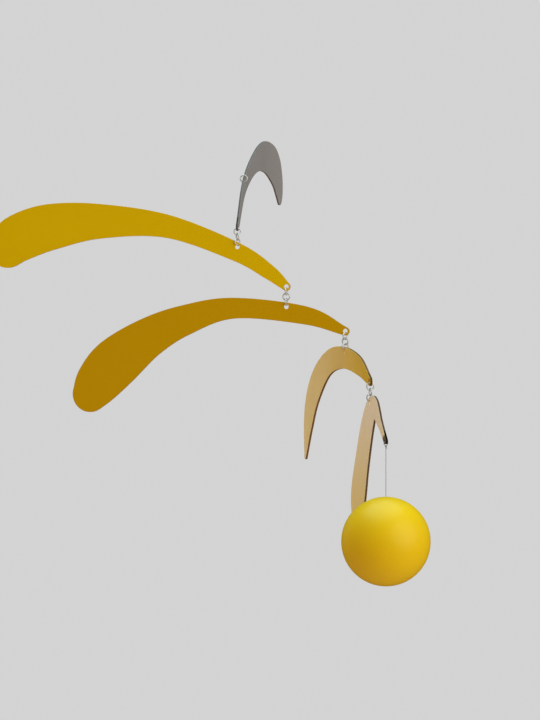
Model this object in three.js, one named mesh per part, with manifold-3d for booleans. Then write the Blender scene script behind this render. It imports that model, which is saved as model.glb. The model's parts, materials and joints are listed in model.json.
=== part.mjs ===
// A hanging mobile: five flat painted leaves, each hung by three small rings from the tip of the
// leaf above it, and a ball on a thread at the tip of the lowest leaf.
// Millimetres, +Z up. The origin is the inside of the top of the ring that holds everything up.
// +X is to the right of someone who looks along +Y at the broad faces of the yellow and ochre leaves.
import * as THREE from "three";
import { mergeVertices } from "three/addons/utils/BufferGeometryUtils.js";
import Module from "manifold-3d";

const wasm = await Module();
wasm.setup();

// Sheet, holes and rings
const THIN_SHEET = 1.2;
const THICK_SHEET = 1.5;
const HOLE_DIAMETER = 3;
const EDGE_WEB = 1;
const THREAD_HOLE_DIAMETER = 1.2;
const RING_OUTSIDE = 4.9;
const RING_WIRE = 0.8;
const LINK_PLAY = 0.15;

// Thread and ball
const THREAD_DIAMETER = 0.4;
const KNOT_DIAMETER = 1.3;
const LOOP_PLAY = 0.12;
const TOUCH_GAP = 0.3;
const BALL_DIAMETER = 50;
const TIP_TO_BALL = 31;
const THREAD_IN_BALL = 6;

// How finely round things are cut
const SPAN_STEPS = 8;
const COVER = 0.02;
const CAP_STEPS = 12;
const HOLE_STEPS = 16;
const RING_STEPS = 18;
const WIRE_SIDES = 6;
const THREAD_SIDES = 8;
const THREAD_STEPS = 26;
const BALL_SECTORS = 40;
const BALL_BANDS = 24;
const KNOT_SECTORS = 12;
const KNOT_BANDS = 8;

const HOLE_RADIUS = HOLE_DIAMETER / 2;
const RIM_RADIUS = HOLE_RADIUS + EDGE_WEB;
const THREAD_HOLE_RADIUS = THREAD_HOLE_DIAMETER / 2;
const RING_INSIDE_RADIUS = RING_OUTSIDE / 2 - RING_WIRE;
const RING_MIDDLE_RADIUS = (RING_OUTSIDE - RING_WIRE) / 2;
const QUARTER_TURN = Math.PI / 2;

// Each leaf is the outline that a disc sweeps as it runs along a curve and changes its radius.
// A station is [along, up, radius of the disc], from the end of the lobe towards the tip. tip is
// the centre of the hole in the tip, where the next leaf or the ball hangs. hangAt is the share of
// the way along the curve at which the leaf itself hangs. heading turns the tip anticlockwise from
// +X, seen from above, in degrees.
const LEAVES = [
  {
    name: "grey_leaf",
    colour: 0x7b7673,
    sheet: THIN_SHEET,
    heading: -98.3,
    hangAt: 0.833,
    stations: [
      [-154.5, 9.2, 13.2],
      [-147, 14.2, 14.7],
      [-126, 20.4, 13.3],
      [-85, 22.7, 10],
      [-44, 15.4, 6.8],
      [-2, -2.3, 4.8],
    ],
    tip: [24, -28.4],
  },
  {
    name: "yellow_leaf",
    colour: 0xc29a06,
    sheet: THIN_SHEET,
    heading: -15,
    hangAt: 0.711,
    stations: [
      [-147.5, 3, 13],
      [-140, 8.5, 14.7],
      [-120, 14.7, 14.2],
      [-88, 17.8, 10.6],
      [-44.5, 14.1, 7],
      [-1, -1.9, 5.6],
      [19.3, -14.2, 4.4],
    ],
    tip: [30, -23],
  },
  {
    name: "ochre_leaf",
    colour: 0xab7e03,
    sheet: THIN_SHEET,
    heading: -16,
    hangAt: 0.8146,
    stations: [
      [-125.5, -52.5, 11.2],
      [-119.5, -44.3, 14.4],
      [-108.5, -33.2, 15.5],
      [-88, -18.4, 12.2],
      [-65, -7.9, 9.2],
      [-34, -0.7, 6.3],
      [11, -5.3, 5.4],
    ],
    tip: [35.5, -14.8],
  },
  {
    name: "upper_sand_leaf",
    colour: 0xb6985c,
    sheet: THICK_SHEET,
    heading: -78.5,
    hangAt: 0.679,
    stations: [
      [-108.5, -66.5, 2],
      [-99, -40.5, 11.5],
      [-79, -21.8, 11.5],
      [-42.5, -7, 8],
      [-3, -3.9, 6.5],
      [36, -8.7, 5.6],
    ],
    tip: [62, -17.5],
  },
  {
    name: "lower_sand_leaf",
    colour: 0xc3a778,
    sheet: THICK_SHEET,
    heading: -70,
    hangAt: 0.607,
    stations: [
      [-20, -74, 5],
      [-18, -57.5, 10],
      [-12, -37, 9.3],
      [-3, -14.2, 8.1],
      [5, -5, 6.1],
      [14.6, -14.3, 2.7],
    ],
    tip: [22.5, -24],
  },
];

const STEEL = new THREE.MeshStandardMaterial({ color: 0xb9bcc0, roughness: 0.28, metalness: 1 });
const THREAD = new THREE.MeshStandardMaterial({ color: 0x8d8f92, roughness: 0.6, metalness: 0 });
const BALL_PAINT = new THREE.MeshStandardMaterial({ color: 0xe6bd08, roughness: 0.55, metalness: 0 });

function paint(colour) {
  return new THREE.MeshStandardMaterial({ color: colour, roughness: 0.45, metalness: 0 });
}

function withSharedPoints(geometry) {
  geometry.deleteAttribute("normal");
  geometry.deleteAttribute("uv");
  return mergeVertices(geometry);
}

function closedMesh(name, geometry, material) {
  const mesh = new THREE.Mesh(withSharedPoints(geometry), material);
  mesh.name = name;
  return mesh;
}

function toSolid(geometry) {
  const merged = withSharedPoints(geometry);
  const vertProperties = new Float32Array(merged.attributes.position.array);
  const triVerts = new Uint32Array(merged.index.array);
  return new wasm.Manifold(new wasm.Mesh({ numProp: 3, vertProperties, triVerts }));
}

function fromSolid(solid) {
  const result = solid.getMesh();
  const geometry = new THREE.BufferGeometry();
  geometry.setAttribute("position", new THREE.BufferAttribute(result.vertProperties, 3));
  geometry.setIndex(new THREE.BufferAttribute(result.triVerts, 1));
  return geometry;
}

// The two points where the swept disc touches the outline at t, and the disc itself
function sweptDisc(curve, t) {
  const reach = 1e-4;
  const before = curve.getPoint(Math.max(0, t - reach));
  const after = curve.getPoint(Math.min(1, t + reach));
  const disc = curve.getPoint(t);
  const run = Math.hypot(after.x - before.x, after.y - before.y);
  const forward = new THREE.Vector2(after.x - before.x, after.y - before.y).divideScalar(run);
  const leftward = new THREE.Vector2(-forward.y, forward.x);
  const growth = (after.z - before.z) / run;
  const centre = new THREE.Vector2(disc.x, disc.y);
  const radius = disc.z;
  const touch = (side) => centre
    .clone()
    .addScaledVector(forward, -growth * radius)
    .addScaledVector(leftward, side * Math.sqrt(1 - growth * growth) * radius);
  return { centre, radius, upper: touch(1), lower: touch(-1) };
}

// Points of the arc around the disc from one touching point anticlockwise to the other
function capArc(disc, from, to) {
  const start = Math.atan2(from.y - disc.centre.y, from.x - disc.centre.x);
  let end = Math.atan2(to.y - disc.centre.y, to.x - disc.centre.x);
  if (end < start) end += 2 * Math.PI;
  const points = [];
  for (let step = 1; step < CAP_STEPS; step += 1) {
    const angle = start + ((end - start) * step) / CAP_STEPS;
    const spoke = new THREE.Vector2(Math.cos(angle), Math.sin(angle));
    points.push(disc.centre.clone().addScaledVector(spoke, disc.radius));
  }
  return points;
}

// The leaf's outline and its two holes, moved so that it hangs from [0, 0]. Where the curve bends
// more sharply than its disc, the points of the outline that other discs cover are left out.
function drawLeaf(leaf, tipHoleRadius) {
  const stations = [...leaf.stations, [...leaf.tip, tipHoleRadius + EDGE_WEB]];
  const points = stations.map(([along, up, radius]) => new THREE.Vector3(along, up, radius));
  const curve = new THREE.CatmullRomCurve3(points, false, "catmullrom", 0.5);
  const steps = SPAN_STEPS * (points.length - 1);
  const discs = [];
  for (let step = 0; step <= steps; step += 1) {
    discs.push(sweptDisc(curve, step / steps));
  }
  const lobe = discs[0];
  const tip = discs[steps];
  const outline = [
    ...discs.map((disc) => disc.lower),
    ...capArc(tip, tip.lower, tip.upper),
    ...discs.map((disc) => disc.upper).reverse(),
    ...capArc(lobe, lobe.upper, lobe.lower),
  ];
  const isBare = (point) => discs.every((disc) => point.distanceTo(disc.centre) > disc.radius - COVER);
  const hangDisc = sweptDisc(curve, leaf.hangAt);
  const outward = hangDisc.upper.clone().sub(hangDisc.centre).normalize();
  const hang = hangDisc.upper.clone().addScaledVector(outward, -RIM_RADIUS);
  return {
    outline: outline.filter(isBare).map((point) => point.sub(hang)),
    tip: tip.centre.clone().sub(hang),
    tipHoleRadius,
  };
}

function roundHole(centre, radius) {
  const hole = new THREE.Path();
  const points = [];
  for (let step = 0; step < HOLE_STEPS; step += 1) {
    const angle = (2 * Math.PI * step) / HOLE_STEPS;
    const spoke = new THREE.Vector2(Math.cos(angle), Math.sin(angle));
    points.push(centre.clone().addScaledVector(spoke, radius));
  }
  hole.setFromPoints(points.reverse());
  return hole;
}

// The leaf stands in the XZ plane of its arm, half its thickness to each side
function makeLeaf(leaf, drawing) {
  const shape = new THREE.Shape(drawing.outline);
  shape.holes.push(roundHole(new THREE.Vector2(0, 0), HOLE_RADIUS));
  shape.holes.push(roundHole(drawing.tip, drawing.tipHoleRadius));
  const plate = new THREE.ExtrudeGeometry(shape, { depth: leaf.sheet, bevelEnabled: false });
  plate.translate(0, 0, -leaf.sheet / 2);
  plate.rotateX(QUARTER_TURN);
  return closedMesh(leaf.name, plate, paint(leaf.colour));
}

// A ring in the vertical plane that holds +X, turned about +Z
function makeRing(name, height, turn) {
  const wire = new THREE.TorusGeometry(RING_MIDDLE_RADIUS, RING_WIRE / 2, WIRE_SIDES, RING_STEPS);
  wire.rotateX(QUARTER_TURN);
  const ring = closedMesh(name, wire, STEEL);
  ring.position.z = height;
  ring.rotation.z = turn;
  return ring;
}

// How far the inside of a ring stands off the edge of a hole, because the flat sheet is wider than
// the ring is round there, and the wire is wider than the hole is round
function seatPlay(sheet) {
  const sheetRise = RING_INSIDE_RADIUS - Math.sqrt(RING_INSIDE_RADIUS ** 2 - (sheet / 2) ** 2);
  const wireRise = HOLE_RADIUS - Math.sqrt(HOLE_RADIUS ** 2 - (RING_WIRE / 2) ** 2);
  return sheetRise + wireRise + LINK_PLAY;
}

// Heights of a chain's three rings and of the hole below, from the hole above
function chainHeights(sheetAbove, sheetBelow) {
  const pitch = 2 * RING_INSIDE_RADIUS - LINK_PLAY;
  const upper = -HOLE_RADIUS + seatPlay(sheetAbove) - RING_INSIDE_RADIUS;
  const middle = upper - pitch;
  const lower = middle - pitch;
  const hole = lower - RING_INSIDE_RADIUS + seatPlay(sheetBelow) - HOLE_RADIUS;
  return { upper, middle, lower, hole };
}

// The smallest turn that brings one leaf's plane into the other's, in degrees
function planeTurn(degrees) {
  return degrees - 180 * Math.round(degrees / 180);
}

// Rings that cross squarely share the turn between two leaves in equal parts, except where the
// upper ring holds the middle one, which stays square
function hangBelow(arm, number, drawing, leaf, nextLeaf, nextArm) {
  const turn = THREE.MathUtils.degToRad(nextLeaf.heading - leaf.heading);
  const share = THREE.MathUtils.degToRad(planeTurn(nextLeaf.heading - leaf.heading)) / 3;
  const heights = chainHeights(leaf.sheet, nextLeaf.sheet);
  const tipHeight = drawing.tip.y;

  const upperRing = makeRing(`chain_${number}_upper_ring`, tipHeight + heights.upper, QUARTER_TURN + share);
  upperRing.position.x = drawing.tip.x;
  arm.add(upperRing);

  nextArm.position.set(drawing.tip.x, 0, tipHeight + heights.hole);
  nextArm.rotation.z = turn;
  const middleTurn = share - turn;
  const lowerTurn = QUARTER_TURN + 2 * share - turn;
  nextArm.add(makeRing(`chain_${number}_middle_ring`, heights.middle - heights.hole, middleTurn));
  nextArm.add(makeRing(`chain_${number}_lower_ring`, heights.lower - heights.hole, lowerTurn));
  arm.add(nextArm);
}

// A thread loop through the lowest tip, with the knot that closes it
function makeKnot(sheet) {
  const halfDiagonal = Math.hypot(sheet / 2, EDGE_WEB / 2);
  const loopRadius = halfDiagonal + LOOP_PLAY + THREAD_DIAMETER / 2;
  const loop = new THREE.TorusGeometry(loopRadius, THREAD_DIAMETER / 2, WIRE_SIDES, RING_STEPS);
  loop.rotateY(QUARTER_TURN);
  loop.rotateX(QUARTER_TURN / RING_STEPS);
  const loopHeight = -THREAD_HOLE_RADIUS - EDGE_WEB / 2;
  loop.translate(0, 0, loopHeight);
  const knot = new THREE.SphereGeometry(KNOT_DIAMETER / 2, KNOT_SECTORS, KNOT_BANDS);
  knot.rotateX(QUARTER_TURN);
  const knotHeight = loopHeight - loopRadius - KNOT_DIAMETER / 2 + THREAD_DIAMETER / 4;
  knot.translate(0, 0, knotHeight);
  const mesh = closedMesh("thread_knot", fromSolid(toSolid(loop).add(toSolid(knot))), THREAD);
  return { mesh, bottom: knotHeight - KNOT_DIAMETER / 2 };
}

function makeThread(top, bottom) {
  const section = new THREE.Shape();
  section.absarc(0, 0, THREAD_DIAMETER / 2, 0, 2 * Math.PI);
  const path = new THREE.LineCurve3(new THREE.Vector3(0, 0, top), new THREE.Vector3(0, 0, bottom));
  const curveSegments = THREAD_SIDES / 2;
  const settings = { extrudePath: path, steps: THREAD_STEPS, curveSegments, bevelEnabled: false };
  return closedMesh("ball_thread", new THREE.ExtrudeGeometry(section, settings), THREAD);
}

// The ball has a hole down from its top, which the thread goes into
function makeBall() {
  const radius = BALL_DIAMETER / 2;
  const sphere = new THREE.SphereGeometry(radius, BALL_SECTORS, BALL_BANDS);
  sphere.rotateX(QUARTER_TURN);
  const depth = THREAD_IN_BALL + TOUCH_GAP;
  const boreRadius = THREAD_DIAMETER / 2 + TOUCH_GAP;
  const proud = boreRadius;
  const bore = new THREE.CylinderGeometry(boreRadius, boreRadius, depth + proud, THREAD_SIDES);
  bore.rotateX(QUARTER_TURN);
  bore.translate(0, 0, radius - (depth - proud) / 2);
  return closedMesh("ball", fromSolid(toSolid(sphere).subtract(toSolid(bore))), BALL_PAINT);
}

function hangBall(arm, drawing, leaf) {
  const tip = new THREE.Group();
  tip.position.set(drawing.tip.x, 0, drawing.tip.y);
  const knot = makeKnot(leaf.sheet);
  const ball = makeBall();
  ball.position.z = -TIP_TO_BALL - BALL_DIAMETER / 2;
  const thread = makeThread(knot.bottom - TOUCH_GAP, -TIP_TO_BALL - THREAD_IN_BALL);
  tip.add(knot.mesh, thread, ball);
  arm.add(tip);
}

function makeMobile() {
  const mobile = new THREE.Group();
  const last = LEAVES.length - 1;
  const drawings = LEAVES.map((leaf, number) => (
    drawLeaf(leaf, number < last ? HOLE_RADIUS : THREAD_HOLE_RADIUS)
  ));
  const arms = LEAVES.map(() => new THREE.Group());
  LEAVES.forEach((leaf, number) => {
    arms[number].add(makeLeaf(leaf, drawings[number]));
    if (number < last) {
      hangBelow(arms[number], number + 1, drawings[number], leaf, LEAVES[number + 1], arms[number + 1]);
    } else {
      hangBall(arms[number], drawings[number], leaf);
    }
  });

  // The top ring holds the grey leaf as a chain's lowest ring does, with its inside top at the origin
  const topArm = arms[0];
  const topRingHeight = HOLE_RADIUS - seatPlay(LEAVES[0].sheet) + RING_INSIDE_RADIUS;
  topArm.add(makeRing("hanging_ring", topRingHeight, QUARTER_TURN));
  topArm.position.z = -topRingHeight - RING_INSIDE_RADIUS;
  topArm.rotation.z = THREE.MathUtils.degToRad(LEAVES[0].heading);
  mobile.add(topArm);
  return mobile;
}

export default makeMobile();
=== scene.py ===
import json
import math
import random

import bmesh
import bpy
import numpy as np
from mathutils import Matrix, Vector

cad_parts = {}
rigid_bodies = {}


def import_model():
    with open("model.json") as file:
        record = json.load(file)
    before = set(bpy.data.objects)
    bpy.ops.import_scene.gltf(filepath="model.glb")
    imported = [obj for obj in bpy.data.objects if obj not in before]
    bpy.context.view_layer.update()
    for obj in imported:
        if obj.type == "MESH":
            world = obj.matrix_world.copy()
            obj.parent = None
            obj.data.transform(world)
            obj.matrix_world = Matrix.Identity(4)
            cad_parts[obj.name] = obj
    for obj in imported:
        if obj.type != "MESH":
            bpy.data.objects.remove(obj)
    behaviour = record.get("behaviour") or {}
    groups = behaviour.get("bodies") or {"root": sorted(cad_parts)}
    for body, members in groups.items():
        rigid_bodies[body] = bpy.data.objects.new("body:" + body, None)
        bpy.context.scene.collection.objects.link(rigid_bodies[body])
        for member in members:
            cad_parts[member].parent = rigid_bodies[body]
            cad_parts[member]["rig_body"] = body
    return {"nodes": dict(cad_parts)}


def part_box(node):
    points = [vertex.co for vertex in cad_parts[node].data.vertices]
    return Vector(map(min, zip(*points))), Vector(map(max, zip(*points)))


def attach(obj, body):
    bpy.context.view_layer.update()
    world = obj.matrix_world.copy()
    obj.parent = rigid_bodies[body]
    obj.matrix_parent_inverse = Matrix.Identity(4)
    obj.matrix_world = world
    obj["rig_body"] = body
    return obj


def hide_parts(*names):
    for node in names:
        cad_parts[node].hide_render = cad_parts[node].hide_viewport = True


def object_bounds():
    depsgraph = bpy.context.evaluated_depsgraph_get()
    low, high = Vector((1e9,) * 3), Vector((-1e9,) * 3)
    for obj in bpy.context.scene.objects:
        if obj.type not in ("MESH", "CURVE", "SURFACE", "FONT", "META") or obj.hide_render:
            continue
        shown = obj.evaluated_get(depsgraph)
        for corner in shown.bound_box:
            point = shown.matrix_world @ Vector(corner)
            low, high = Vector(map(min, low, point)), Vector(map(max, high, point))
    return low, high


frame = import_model()
CAD_LOW, CAD_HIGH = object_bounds()

MM = 0.001
UP = Vector((0, 0, 1))

# The picture and the camera, which is level and looks along +Y, with the ball at its place in the
# photograph. The sensor's width is laid along the picture's longer side, its height.
PICTURE_HEIGHT_PX = 720
FOCAL_PX = 2400
SENSOR_WIDTH = 36
CAMERA_FROM_BALL = Vector((-64.82, -1342.28, 101.51)) * MM
NEAREST_SEEN = 0.05
FURTHEST_SEEN = 50

# Leaves
WELD = 0.002 * MM
FLATNESS = 0.01 * MM
SHORTEST_STEP = 0.1 * MM
OUTLINE_STEPS = 4
HOLE_POINTS = 56
RIM_ROUND = 0.14 * MM
RIM_STEPS = 3
PAINT_INDEX = 0
EDGE_INDEX = 1

# Rings
RING_OUTSIDE = 4.9 * MM
RING_WIRE = 0.8 * MM
RING_STEPS = 72
WIRE_SIDES = 18
SLIT = 0.09 * MM
SLIT_STEP = 0.05 * MM
SLIT_LEAN_DEG = 25
END_ROUND = 0.05 * MM
RING_SEED = 7

# Thread, its loop and its knot
THREAD_DIAMETER = 0.4 * MM
THREAD_SIDES = 18
THREAD_PLIES = 3
PLY_DEPTH = 0.16
TWIST_LENGTH = 1.7 * MM
THREAD_STEP = 0.07 * MM
KNOT_DIAMETER = 1.3 * MM
KNOT_STEPS = 160
TAIL_LENGTH = 1.5 * MM
TAIL_DROP = 0.7
TAIL_STEPS_IN_KNOT = 4

# Ball. The middle of the bore's rounded lip lies LIP_MIDDLE of the rounding out and down.
BALL_RADIUS = 25 * MM
BALL_SECTORS = 160
BALL_BANDS = 96
BORE_RADIUS = 0.5 * MM
BORE_DEPTH = 6.3 * MM
BORE_ROUND = 0.15 * MM
LIP_MIDDLE = 0.3

# The surroundings: what the camera sees of them, what glossy surfaces mirror and what lights the rest
BACKDROP = (0.655, 0.655, 0.655)
REFLECTED = (0.03, 0.03, 0.03)
AMBIENT = (0.44, 0.3, 0.3)
FLOOR_COLOUR = (0.8, 0.6, 0.5)
FLOOR_HEIGHT = -1.1
FLOOR_RADIUS = 4
FLOOR_POINTS = 96

# Lights, placed from the middle of the CAD model and aimed at it
LIGHTS = {
    "key": {
        "away": Vector((1.45, -1.28, 0.6)),
        "size": 2.4,
        "power": 26,
        "colour": (0.87, 1, 0.9),
        "mirrored": True,
    },
    "overhead": {
        "away": Vector((-0.1, 0.1, 1.9)),
        "size": 2.6,
        "power": 37,
        "colour": (0.6, 1, 1),
        "mirrored": True,
    },
    "side": {
        "away": Vector((-1.3, 1.5, 0.3)),
        "size": 1.6,
        "power": 13,
        "colour": (0.82, 1, 1),
        "mirrored": False,
    },
}

# What each leaf is painted with. fade is an axis, the two places on it between which the paint turns
# to a second tone, and that tone; on the sand leaves the paler tone is a painted reflection of the bright
# surroundings, and the lower sand leaf's pale colour is partly one too. painted_tip_shade is how far from
# the tip's hole painted shade darkens the paint, and to what tone. edge is the tone of the cut edge, and
# tip_edge_painted_shade the painted shade on the edge round the tip.
LEAVES = {
    "grey_leaf": {
        "slot": "grey_paint",
        "colour": (0.33, 0.32, 0.315),
        "gloss": 0.3,
        "gloss_tint": (1, 1, 1),
        # Darker towards lower Y.
        "tone_gradient": ("Y", 150 * MM, 60 * MM, (0.28, 0.275, 0.275)),
        "painted_tip_shade": None,
        "edge": (0.13, 0.12, 0.115),
        "tip_edge_painted_shade": (0.04, 0.035, 0.03),
    },
    "yellow_leaf": {
        "slot": "yellow_paint",
        "colour": (0.75, 0.505, 0.001),
        "gloss": 0.3,
        "gloss_tint": (1, 0.7, 0.05),
        "tone_gradient": None,
        "painted_tip_shade": None,
        "edge": (0.4, 0.22, 0.02),
        "tip_edge_painted_shade": (0.3, 0.17, 0.02),
    },
    "ochre_leaf": {
        "slot": "ochre_paint",
        "colour": (0.59, 0.34, 0.001),
        "gloss": 0.3,
        "gloss_tint": (1, 0.7, 0.05),
        "tone_gradient": None,
        "painted_tip_shade": None,
        "edge": (0.32, 0.16, 0.015),
        "tip_edge_painted_shade": (0.2, 0.1, 0.01),
    },
    "upper_sand_leaf": {
        "slot": "sand_paint",
        "colour": (0.77, 0.47, 0.005),
        "gloss": 0.3,
        "gloss_tint": (1, 1, 1),
        # The paler tone is a painted reflection of the bright surroundings on the yellow paint.
        "tone_gradient": ("Y", -105 * MM, 50 * MM, (0.92, 0.73, 0.34)),
        # Painted shade round the tip's hole.
        "painted_tip_shade": (1.2 * MM, (0.3, 0.15, 0.02)),
        "edge": (0.17, 0.09, 0.045),
        "tip_edge_painted_shade": (0.08, 0.04, 0.012),
    },
    "lower_sand_leaf": {
        "slot": "sand_paint",
        # Pale colour and paler tone towards the top: the yellow paint with a painted reflection.
        "colour": (0.87, 0.68, 0.26),
        "gloss": 0.2,
        "gloss_tint": (1, 1, 1),
        "tone_gradient": ("Z", -195 * MM, -140 * MM, (0.93, 0.83, 0.6)),
        # Painted shade: black round the tip's hole.
        "painted_tip_shade": (2.8 * MM, (0.001, 0.001, 0.001)),
        "edge": (0.1, 0.06, 0.05),
        "tip_edge_painted_shade": (0.0015, 0.001, 0.001),
    },
}
# How far painted shade reaches along the cut edge from the tip, and the width of its soft border.
TIP_EDGE_SHADE_REACH = 5.5 * MM
TIP_SHADE_BLEND = 1.5 * MM


# Pieces

def stand_for(piece, node):
    """The piece takes the place of a CAD node, on its body."""
    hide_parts(node)
    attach(piece, frame["nodes"][node]["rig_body"])


def new_object(name, mesh, *materials):
    piece = bpy.data.objects.new(name, mesh)
    bpy.context.scene.collection.objects.link(piece)
    for material in materials:
        mesh.materials.append(material)
    return piece


def closed_object(name, work, material):
    """An object of a closed mesh in work, with its faces turned outward."""
    bmesh.ops.recalc_face_normals(work, faces=work.faces)
    mesh = bpy.data.meshes.new(name)
    work.to_mesh(mesh)
    work.free()
    return new_object(name, mesh, material)


def node_points(node):
    return np.array([vertex.co for vertex in frame["nodes"][node].data.vertices], float)


def thinnest_way(points):
    """The direction in which the points spread least."""
    spread = np.cov((points - points.mean(0)).T)
    return Vector(np.linalg.eigh(spread)[1][:, 0]).normalized()


# Camera

def make_camera():
    low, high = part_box("ball")
    camera = bpy.data.objects.new("camera", bpy.data.cameras.new("camera"))
    bpy.context.scene.collection.objects.link(camera)
    camera.data.sensor_width = SENSOR_WIDTH
    camera.data.lens = FOCAL_PX * SENSOR_WIDTH / PICTURE_HEIGHT_PX
    camera.location = (low + high) / 2 + CAMERA_FROM_BALL
    camera.rotation_euler = (math.radians(90), 0, 0)
    camera.data.clip_start = NEAREST_SEEN
    camera.data.clip_end = FURTHEST_SEEN
    bpy.context.scene.camera = camera


# Materials

class Shader:
    """A Principled material and short ways to add nodes to it."""

    def __init__(self, name, colour, roughness, metallic=0.0, specular=0.5, gloss_tint=(1, 1, 1)):
        self.material = bpy.data.materials.new(name)
        self.material.use_nodes = True
        self.tree = self.material.node_tree
        self.surface = self.tree.nodes["Principled BSDF"]
        self.surface.inputs["Base Color"].default_value = (*colour, 1)
        self.surface.inputs["Roughness"].default_value = roughness
        self.surface.inputs["Metallic"].default_value = metallic
        self.surface.inputs["Specular IOR Level"].default_value = specular
        self.surface.inputs["Specular Tint"].default_value = (*gloss_tint, 1)
        self.colour = colour
        self.roughness = roughness
        self.coordinates = self.tree.nodes.new("ShaderNodeTexCoord").outputs["Object"]

    def link(self, source, target):
        self.tree.links.new(source, target)

    def stretched(self, scale, turn=(0, 0, 0)):
        node = self.tree.nodes.new("ShaderNodeMapping")
        node.inputs["Scale"].default_value = scale
        node.inputs["Rotation"].default_value = turn
        self.link(self.coordinates, node.inputs["Vector"])
        return node.outputs[0]

    def noise(self, size, detail=2, rough=0.5, coordinates=None):
        """Noise from 0 to 1 whose features are about size metres across."""
        node = self.tree.nodes.new("ShaderNodeTexNoise")
        node.inputs["Scale"].default_value = 1 / size
        node.inputs["Detail"].default_value = detail
        node.inputs["Roughness"].default_value = rough
        self.link(coordinates or self.coordinates, node.inputs["Vector"])
        return node.outputs["Fac"]

    def place(self, axis):
        """The place on the axis X, Y or Z, in metres."""
        node = self.tree.nodes.new("ShaderNodeSeparateXYZ")
        self.link(self.coordinates, node.inputs[0])
        return node.outputs[axis]

    def distance(self, point):
        node = self.tree.nodes.new("ShaderNodeVectorMath")
        node.operation = "DISTANCE"
        node.inputs[1].default_value = point
        self.link(self.coordinates, node.inputs[0])
        return node.outputs["Value"]

    def ranged(self, value, low, high, start=0.0, end=1.0):
        """Goes from start to end while the value goes from low to high."""
        node = self.tree.nodes.new("ShaderNodeMapRange")
        for name, number in (("From Min", low), ("From Max", high), ("To Min", start), ("To Max", end)):
            node.inputs[name].default_value = number
        self.link(value, node.inputs["Value"])
        return node.outputs["Result"]

    def tint(self, share, colour):
        """Mixes colour into what the base colour is so far."""
        node = self.tree.nodes.new("ShaderNodeMix")
        node.data_type = "RGBA"
        factor, before, after = node.inputs[0], node.inputs[6], node.inputs[7]
        base = self.surface.inputs["Base Color"]
        if base.links:
            self.link(base.links[0].from_socket, before)
        else:
            before.default_value = (*self.colour, 1)
        after.default_value = (*colour, 1)
        self.link(share, factor)
        self.link(node.outputs[2], base)

    def stain(self, noise, low, high, most, colour):
        """Mixes in up to most of the colour while the noise goes from low to high."""
        self.tint(self.ranged(noise, low, high, 0, most), colour)

    def paint_shade_near(self, point, reach, colour):
        """Mixes in the colour up to reach away from the point, with a soft border; used for painted shade
        round a leaf's tip.
        """
        self.tint(self.ranged(self.distance(point), reach, reach + TIP_SHADE_BLEND, 1, 0), colour)

    def rough(self, noise, change):
        """Roughness moves by up to change, up and down, with the noise."""
        value = self.ranged(noise, 0.3, 0.7, self.roughness - change, self.roughness + change)
        self.link(value, self.surface.inputs["Roughness"])

    def bump(self, noise, depth):
        """Adds relief of that depth in metres."""
        node = self.tree.nodes.new("ShaderNodeBump")
        node.inputs["Strength"].default_value = 1
        node.inputs["Distance"].default_value = depth
        self.link(noise, node.inputs["Height"])
        normal = self.surface.inputs["Normal"]
        if normal.links:
            self.link(normal.links[0].from_socket, node.inputs["Normal"])
        self.link(node.outputs["Normal"], normal)


def shade(colour, factor):
    return tuple(min(1.0, part * factor) for part in colour)


def paint_material(name, look, tip):
    """Satin paint: broad faint mottling, orange peel, fine speckle and a few pale scuffs. Where the look
    asks for them, a tone gradient along an axis, which on the sand leaves is a painted reflection, and
    painted shade round the tip.
    """
    colour = look["colour"]
    paint = Shader(name, colour, roughness=0.45, specular=look["gloss"], gloss_tint=look["gloss_tint"])
    # On the sand leaves a painted reflection; on the grey leaf a darker tone towards lower Y.
    if look["tone_gradient"]:
        axis, start, end, tone = look["tone_gradient"]
        paint.tint(paint.ranged(paint.place(axis), start, end), tone)
    # Painted shade round the tip's hole.
    if look["painted_tip_shade"]:
        reach, tone = look["painted_tip_shade"]
        paint.paint_shade_near(tip, reach, tone)

    mottling = paint.noise(size=38 * MM, detail=3)
    paint.stain(mottling, low=0.35, high=0.65, most=0.25, colour=shade(colour, 1.08))
    clouds = paint.noise(size=9 * MM, detail=4, rough=0.6)
    paint.stain(clouds, low=0.5, high=0.75, most=0.15, colour=shade(colour, 0.9))
    speckle = paint.noise(size=0.5 * MM, detail=2, rough=0.7)
    paint.stain(speckle, low=0.62, high=0.72, most=0.3, colour=shade(colour, 1.3))
    slanting = paint.stretched(scale=(0.16, 0.16, 1.6), turn=(0, 0.6, 0))
    scuffs = paint.noise(size=3 * MM, detail=4, rough=0.6, coordinates=slanting)
    paint.stain(scuffs, low=0.68, high=0.8, most=0.18, colour=shade(colour, 1.25))

    paint.rough(paint.noise(size=5 * MM, detail=4), change=0.06)
    paint.bump(paint.noise(size=1.3 * MM, detail=1.5), depth=0.012 * MM)
    paint.bump(paint.noise(size=0.22 * MM, detail=2), depth=0.004 * MM)
    return paint.material


def cut_edge_material(name, look, tip):
    """The cut edge of the sheet: darker than the paint, with fine grain, and painted shade darkest
    round the tip.
    """
    colour = look["edge"]
    edge = Shader(name, colour, roughness=0.5, specular=0.1)
    grain = edge.noise(size=0.35 * MM, detail=3, rough=0.6)
    edge.stain(grain, low=0.4, high=0.65, most=0.6, colour=shade(colour, 1.35))
    edge.stain(edge.noise(size=4 * MM, detail=3), low=0.4, high=0.7, most=0.5, colour=shade(colour, 0.7))
    # Painted shade on the edge round the tip.
    edge.paint_shade_near(tip, TIP_EDGE_SHADE_REACH, look["tip_edge_painted_shade"])
    edge.rough(edge.noise(size=1.2 * MM, detail=3), change=0.08)
    edge.bump(grain, depth=0.03 * MM)
    return edge.material


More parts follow.
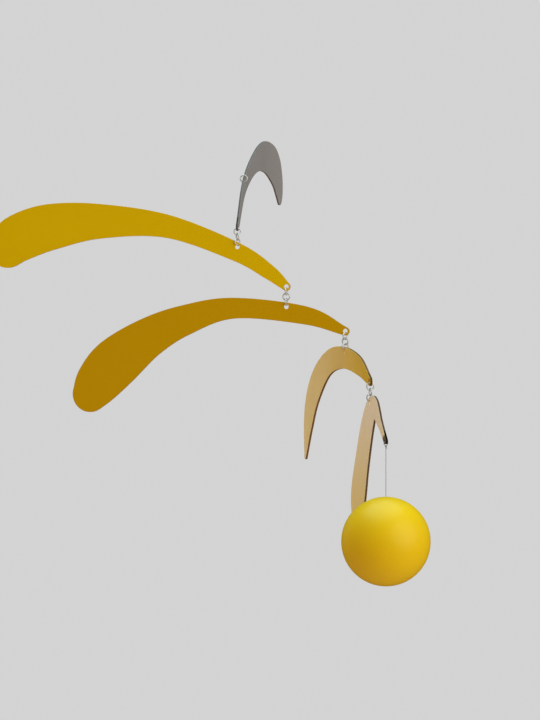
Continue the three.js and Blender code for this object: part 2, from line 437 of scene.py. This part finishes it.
def ring_material():
    """Satin plated wire with fine drawing marks and a little tarnish."""
    wire = Shader("ring_plating", colour=(0.8, 0.8, 0.8), roughness=0.38, metallic=0.5)
    tarnish = wire.noise(size=1.1 * MM, detail=2)
    wire.stain(tarnish, low=0.5, high=0.8, most=0.5, colour=(0.6, 0.59, 0.57))
    wire.rough(wire.noise(size=0.6 * MM, detail=2), change=0.06)
    wire.bump(wire.noise(size=0.15 * MM, detail=2), depth=0.0015 * MM)
    return wire.material


def thread_material():
    """Grey thread with paler flecks and fine upright fibres."""
    thread = Shader("twisted_thread", colour=(0.3, 0.31, 0.33), roughness=0.6, specular=0.4)
    flecks = thread.noise(size=0.3 * MM, detail=3)
    thread.stain(flecks, low=0.45, high=0.7, most=0.7, colour=(0.5, 0.51, 0.52))
    upright = thread.stretched(scale=(1, 1, 0.25))
    fibres = thread.noise(size=0.06 * MM, detail=3, rough=0.6, coordinates=upright)
    thread.bump(fibres, depth=0.02 * MM)
    return thread.material


def ball_material():
    """Almost matte paint with a faint even grain."""
    colour = (0.86, 0.575, 0.001)
    paint = Shader("ball_matte", colour, roughness=0.37, specular=0.4, gloss_tint=(1, 0.95, 0.6))
    paint.stain(paint.noise(size=14 * MM, detail=3), low=0.35, high=0.7, most=1, colour=shade(colour, 0.97))
    grain = paint.noise(size=0.45 * MM, detail=3, rough=0.65)
    paint.stain(grain, low=0.58, high=0.75, most=0.4, colour=shade(colour, 0.9))
    paint.rough(paint.noise(size=2.5 * MM, detail=4), change=0.05)
    paint.bump(grain, depth=0.02 * MM)
    paint.bump(paint.noise(size=3.2 * MM, detail=2), depth=0.02 * MM)
    return paint.material


# Leaves

def rim_loops(solid, facing, front):
    """The closed rings of points round the solid's flat face, which is front away along facing."""
    neighbours = {}
    for edge in solid.edges:
        on_front = [
            all(vertex.co.dot(facing) > front - FLATNESS for vertex in face.verts)
            for face in edge.link_faces
        ]
        if sorted(on_front) == [False, True]:
            first, second = edge.verts
            neighbours.setdefault(first, []).append(second)
            neighbours.setdefault(second, []).append(first)
    loops = []
    while neighbours:
        start = next(iter(neighbours))
        loop, here = [], start
        while here in neighbours:
            loop.append(here.co.copy())
            ahead = neighbours.pop(here)
            here = next((vertex for vertex in ahead if vertex in neighbours), start)
        loops.append(loop)
    return loops


def signed_area(loop):
    return sum(a.x * b.y - b.x * a.y for a, b in zip(loop, loop[1:] + loop[:1])) / 2


def without_short_steps(loop):
    kept = loop[:1]
    for point in loop[1:]:
        if (point - kept[-1]).length > SHORTEST_STEP and (point - kept[0]).length > SHORTEST_STEP:
            kept.append(point)
    return kept


def smooth_outline(loop):
    """A closed centripetal Catmull-Rom curve through the loop's points."""
    loop = without_short_steps(loop)
    count = len(loop)
    curve = []
    for index in range(count):
        a, b, c, d = (loop[(index + offset) % count] for offset in (-1, 0, 1, 2))
        knots = [0.0]
        for first, second in ((a, b), (b, c), (c, d)):
            knots.append(knots[-1] + math.sqrt((second - first).length))
        t0, t1, t2, t3 = knots
        for step in range(OUTLINE_STEPS):
            t = t1 + (t2 - t1) * step / OUTLINE_STEPS
            ab = a * ((t1 - t) / (t1 - t0)) + b * ((t - t0) / (t1 - t0))
            bc = b * ((t2 - t) / (t2 - t1)) + c * ((t - t1) / (t2 - t1))
            cd = c * ((t3 - t) / (t3 - t2)) + d * ((t - t2) / (t3 - t2))
            abc = ab * ((t2 - t) / (t2 - t0)) + bc * ((t - t0) / (t2 - t0))
            bcd = bc * ((t3 - t) / (t3 - t1)) + cd * ((t - t1) / (t3 - t1))
            curve.append(abc * ((t2 - t) / (t2 - t1)) + bcd * ((t - t1) / (t2 - t1)))
    return curve


def round_hole(loop):
    """A clockwise circle through the corners of a many-sided hole."""
    centre = sum(loop, Vector((0, 0))) / len(loop)
    radius = (loop[0] - centre).length
    angles = (-2 * math.pi * step / HOLE_POINTS for step in range(HOLE_POINTS))
    return [centre + radius * Vector((math.cos(angle), math.sin(angle))) for angle in angles]


def inward(loop):
    """For each point, the direction into the sheet, which lies left of the way round."""
    directions = []
    for before, after in zip(loop[-1:] + loop[:-1], loop[1:] + loop[:1]):
        run = (after - before).normalized()
        directions.append(Vector((-run.y, run.x)))
    return directions


def rim_profile(half):
    """From the front face over the rounded rim to the back: distance in from the edge, and depth."""
    front = []
    for step in range(RIM_STEPS + 1):
        angle = math.pi / 2 * step / RIM_STEPS
        front.append((RIM_ROUND * (1 - math.sin(angle)), half - RIM_ROUND * (1 - math.cos(angle))))
    return front + [(inset, -depth) for inset, depth in reversed(front)]


def read_leaf(node):
    """A CAD leaf's front, its way along, the depths of its faces, and its outline and holes."""
    solid = bmesh.new()
    solid.from_mesh(frame["nodes"][node].data)
    bmesh.ops.remove_doubles(solid, verts=solid.verts, dist=WELD)
    facing = max(solid.faces, key=lambda face: face.calc_area()).normal.copy()
    if facing.y > 0:
        facing.negate()
    along = UP.cross(facing)
    depths = [vertex.co.dot(facing) for vertex in solid.verts]
    back, front = min(depths), max(depths)
    rims = rim_loops(solid, facing, front)
    solid.free()
    flat = [[Vector((point.dot(along), point.z)) for point in rim] for rim in rims]
    flat.sort(key=lambda loop: -abs(signed_area(loop)))
    outline = flat[0] if signed_area(flat[0]) > 0 else flat[0][::-1]
    loops = [smooth_outline(outline)] + [round_hole(loop) for loop in flat[1:]]
    return facing, along, back, front, loops


def add_rim(sheet, loop, half, place, wall_index):
    """The rounded rim along one loop. Returns its points on the front and on the back."""
    ways = inward(loop)
    rows = []
    for inset, depth in rim_profile(half):
        spots = [point + way * inset for point, way in zip(loop, ways)]
        rows.append([sheet.verts.new(place(spot, depth)) for spot in spots])
    for number, (row, below) in enumerate(zip(rows, rows[1:])):
        for index in range(len(row)):
            after = (index + 1) % len(row)
            face = sheet.faces.new((row[index], below[index], below[after], row[after]))
            face.material_index = wall_index if number == RIM_STEPS else PAINT_INDEX
            face.smooth = True
    return rows[0], rows[-1]


def fill_face(sheet, rows, side):
    """The flat face between the outline and the holes, with a crisp border."""
    borders = []
    for row in rows:
        for before, here in zip(row[-1:] + row[:-1], row):
            border = sheet.edges.get((before, here))
            border.smooth = False
            borders.append(border)
    bmesh.ops.triangle_fill(sheet, use_beauty=True, edges=borders, normal=side)


def make_leaf(node, look):
    facing, along, back, front, loops = read_leaf(node)
    middle = (back + front) / 2

    def place(spot, depth):
        return along * spot.x + UP * spot.y + facing * (middle + depth)

    sheet = bmesh.new()
    rims = []
    for loop in loops:
        wall_index = EDGE_INDEX if loop is loops[0] else PAINT_INDEX
        rims.append(add_rim(sheet, loop, (front - back) / 2, place, wall_index))
    fronts, backs = zip(*rims)
    fill_face(sheet, fronts, facing)
    fill_face(sheet, backs, -facing)
    mesh = bpy.data.meshes.new(node + "_sheet")
    sheet.to_mesh(mesh)
    sheet.free()

    tip_hole = min(loops[1:], key=lambda loop: loop[0].y)
    tip = place(sum(tip_hole, Vector((0, 0))) / len(tip_hole), 0)
    paint = paint_material(node + "_paint", look, tip)
    cut_edge = cut_edge_material(node + "_cut_edge", look, tip)
    piece = new_object(node + "_sheet", mesh, paint, cut_edge)
    stand_for(piece, node)


# Rings

def tube(mesh, centres, across, upward, radii, sides):
    """Adds a tube with closed ends along the centres. across and upward span each section."""
    rows = []
    for centre, side, top, radius in zip(centres, across, upward, radii):
        row = []
        for index in range(sides):
            angle = 2 * math.pi * index / sides
            size = radius(angle) if callable(radius) else radius
            row.append(mesh.verts.new(centre + size * (math.cos(angle) * side + math.sin(angle) * top)))
        rows.append(row)
    for row, below in zip(rows, rows[1:]):
        for index in range(sides):
            after = (index + 1) % sides
            mesh.faces.new((row[index], row[after], below[after], below[index])).smooth = True
    mesh.faces.new(rows[0][::-1])
    mesh.faces.new(rows[-1])


def make_ring(node, metal, dice):
    """A ring bent from wire, whose ends meet at a narrow slit with a small sideways step."""
    points = node_points(node)
    centre = Vector((points.max(0) + points.min(0)) / 2)
    axle = thinnest_way(points)
    sideways = axle.cross(UP).normalized()
    middle_radius = (RING_OUTSIDE - RING_WIRE) / 2
    lean = math.radians(dice.uniform(-SLIT_LEAN_DEG, SLIT_LEAN_DEG))
    slit_at = lean + (math.pi if dice.random() < 0.5 else 0)
    slit_angle = SLIT / middle_radius
    turn = 2 * math.pi - slit_angle

    end = END_ROUND / (middle_radius * turn)
    even = (step / RING_STEPS for step in range(RING_STEPS + 1))
    shares = [0, end, *(share for share in even if end < share < 1 - end), 1 - end, 1]
    centres, across, radii = [], [], []
    for share in shares:
        angle = slit_at + slit_angle / 2 + turn * share
        spoke = math.cos(angle) * sideways + math.sin(angle) * UP
        centres.append(centre + spoke * middle_radius + axle * SLIT_STEP * (share - 0.5))
        across.append(spoke)
        radii.append(RING_WIRE / 2 - (END_ROUND if share in (0, 1) else 0))
    ring = bmesh.new()
    tube(ring, centres, across, [axle] * len(shares), radii, WIRE_SIDES)
    stand_for(closed_object(node + "_wire", ring, metal), node)


# Thread and knot

def twisted(distance):
    """The radius of a twisted thread's section round the clock, at that distance along it."""
    lay = 2 * math.pi * distance / TWIST_LENGTH
    outer = THREAD_DIAMETER / 2

    def radius(angle):
        return outer * (1 - PLY_DEPTH * (1 - math.cos(THREAD_PLIES * angle - lay)) / 2)

    return radius


def add_thread(mesh, route):
    """A twisted thread along closely spaced points."""
    ways = [(after - before).normalized() for before, after in zip(route, route[1:])]
    ways.append(ways[-1])
    side = ways[0].orthogonal().normalized()
    across, upward, radii = [], [], []
    distance = 0
    for index, way in enumerate(ways):
        side = (side - way * side.dot(way)).normalized()
        across.append(side)
        upward.append(way.cross(side))
        radii.append(twisted(distance))
        if index < len(route) - 1:
            distance += (route[index + 1] - route[index]).length
    tube(mesh, route, across, upward, radii, THREAD_SIDES)


def make_ball_thread(material):
    """The thread from under the knot straight down to the bottom of the ball's bore."""
    low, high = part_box("ball_thread")
    axis = Vector(((low.x + high.x) / 2, (low.y + high.y) / 2, 0))
    exit_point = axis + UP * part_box("thread_knot")[0].z
    length = exit_point.z - low.z
    steps = round(length / THREAD_STEP)
    route = [exit_point - UP * length * step / steps for step in range(steps + 1)]
    work = bmesh.new()
    add_thread(work, route)
    piece = closed_object("ball_thread_strand", work, material)
    stand_for(piece, "ball_thread")


def loop_route(centre, radius, through):
    """Round the loop, from beside its lowest point to the other side of that point."""
    gap = THREAD_DIAMETER / 2 / radius
    count = round(2 * math.pi * radius / THREAD_STEP)
    route = []
    for step in range(count + 1):
        angle = -math.pi / 2 + gap + (2 * math.pi - 2 * gap) * step / count
        route.append(centre + radius * (math.cos(angle) * through + math.sin(angle) * UP))
    return route


def knot_route(centre, reach, through, along):
    """A trefoil curve, which is an overhand knot with its ends joined."""
    route = []
    for step in range(KNOT_STEPS + 1):
        t = 2 * math.pi * step / KNOT_STEPS
        sideways = (math.sin(t) + 2 * math.sin(2 * t)) / 3 * through
        upward = (math.cos(t) - 2 * math.cos(2 * t)) / 3 * UP
        route.append(centre + reach * (sideways + upward - math.sin(3 * t) / 2 * along))
    return route


def tail_route(centre, reach, way):
    """The knot's short loose end, which starts a few steps inside the knot."""
    count = round(TAIL_LENGTH / THREAD_STEP)
    steps = range(-TAIL_STEPS_IN_KNOT, count)
    return [centre + way * (reach + TAIL_LENGTH * step / count) for step in steps]


def make_knot(material):
    """The loop through the leaf's tip, an overhand knot under it and the knot's short tail."""
    low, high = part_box("thread_knot")
    axis = Vector(((low.x + high.x) / 2, (low.y + high.y) / 2, 0))
    through = thinnest_way(node_points("lower_sand_leaf"))
    along = UP.cross(through)
    loop_radius = (high.z - low.z - KNOT_DIAMETER - THREAD_DIAMETER / 4) / 2
    loop_centre = axis + UP * (high.z - THREAD_DIAMETER / 2 - loop_radius)
    knot_centre = axis + UP * (low.z + KNOT_DIAMETER / 2)
    reach = (KNOT_DIAMETER - THREAD_DIAMETER) / 2
    rightward = along if along.x > 0 else -along
    tail_way = (rightward - UP * TAIL_DROP).normalized()

    work = bmesh.new()
    add_thread(work, [knot_centre, *loop_route(loop_centre, loop_radius, through), knot_centre])
    add_thread(work, knot_route(knot_centre, reach, through, along))
    add_thread(work, tail_route(knot_centre, reach, tail_way))
    piece = closed_object("thread_knot_strand", work, material)
    stand_for(piece, "thread_knot")


# Ball

def ball_profile():
    """Radius and height from the bottom of the bore, up and out over its lip, and round the ball."""
    mouth = math.asin((BORE_RADIUS + BORE_ROUND) / BALL_RADIUS)
    lip = BALL_RADIUS * math.cos(mouth)
    profile = [
        (0, lip - BORE_DEPTH),
        (BORE_RADIUS, lip - BORE_DEPTH),
        (BORE_RADIUS, lip - BORE_ROUND),
        (BORE_RADIUS + BORE_ROUND * LIP_MIDDLE, lip - BORE_ROUND * LIP_MIDDLE),
    ]
    for band in range(BALL_BANDS):
        angle = mouth + (math.pi - mouth) * band / BALL_BANDS
        profile.append((BALL_RADIUS * math.sin(angle), BALL_RADIUS * math.cos(angle)))
    return profile + [(0, -BALL_RADIUS)]


def make_ball(material):
    low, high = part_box("ball")
    centre = (low + high) / 2
    angles = [2 * math.pi * sector / BALL_SECTORS for sector in range(BALL_SECTORS)]
    spokes = [Vector((math.cos(angle), math.sin(angle), 0)) for angle in angles]
    work = bmesh.new()
    rows = []
    for radius, height in ball_profile():
        if radius == 0:
            rows.append([work.verts.new(centre + UP * height)])
        else:
            rows.append([work.verts.new(centre + spoke * radius + UP * height) for spoke in spokes])
    for row, below in zip(rows, rows[1:]):
        for sector in range(BALL_SECTORS):
            after = sector + 1
            corners = (
                row[sector % len(row)],
                row[after % len(row)],
                below[after % len(below)],
                below[sector % len(below)],
            )
            without_repeats = list(dict.fromkeys(corners))
            work.faces.new(without_repeats).smooth = True
    stand_for(closed_object("ball_shell", work, material), "ball")


# Studio

def make_world():
    world = bpy.data.worlds.new("studio")
    bpy.context.scene.world = world
    world.use_nodes = True
    nodes = world.node_tree.nodes
    links = world.node_tree.links
    rays = nodes.new("ShaderNodeLightPath").outputs
    around, seen = [nodes.new("ShaderNodeMix") for _ in range(2)]
    for mix, ray, tone in ((around, "Is Glossy Ray", REFLECTED), (seen, "Is Camera Ray", BACKDROP)):
        mix.data_type = "RGBA"
        mix.inputs[7].default_value = (*tone, 1)
        links.new(rays[ray], mix.inputs[0])
    around.inputs[6].default_value = (*AMBIENT, 1)
    links.new(around.outputs[2], seen.inputs[6])
    links.new(seen.outputs[2], nodes["Background"].inputs["Color"])


def make_light(name, target, away, size, power, colour, mirrored):
    light = bpy.data.objects.new(name, bpy.data.lights.new(name, "AREA"))
    bpy.context.scene.collection.objects.link(light)
    light.data.shape = "DISK"
    light.data.size = size
    light.data.energy = power
    light.data.color = colour
    light.location = target + away
    light.rotation_euler = (-away).to_track_quat("-Z", "Y").to_euler()
    light.visible_glossy = mirrored


def make_floor():
    mesh = bpy.data.meshes.new("floor")
    angles = [2 * math.pi * step / FLOOR_POINTS for step in range(FLOOR_POINTS)]
    spokes = [(FLOOR_RADIUS * math.cos(angle), FLOOR_RADIUS * math.sin(angle)) for angle in angles]
    mesh.from_pydata([(*spoke, FLOOR_HEIGHT) for spoke in spokes], [], [list(range(FLOOR_POINTS))])
    material = Shader("beige_floor", FLOOR_COLOUR, roughness=0.9, specular=0.1).material
    floor = new_object("floor", mesh, material)
    floor.visible_glossy = False


make_camera()
thread = thread_material()
make_ball_thread(thread)
make_knot(thread)

for node, look in LEAVES.items():
    make_leaf(node, look)

ring_metal = ring_material()
dice = random.Random(RING_SEED)
for node in sorted(name for name in frame["nodes"] if name.endswith("_ring")):
    make_ring(node, ring_metal, dice)

make_ball(ball_material())

bpy.context.scene.view_settings.view_transform = "Standard"
make_world()
for name, light in LIGHTS.items():
    make_light(name, (CAD_LOW + CAD_HIGH) / 2, **light)
make_floor()
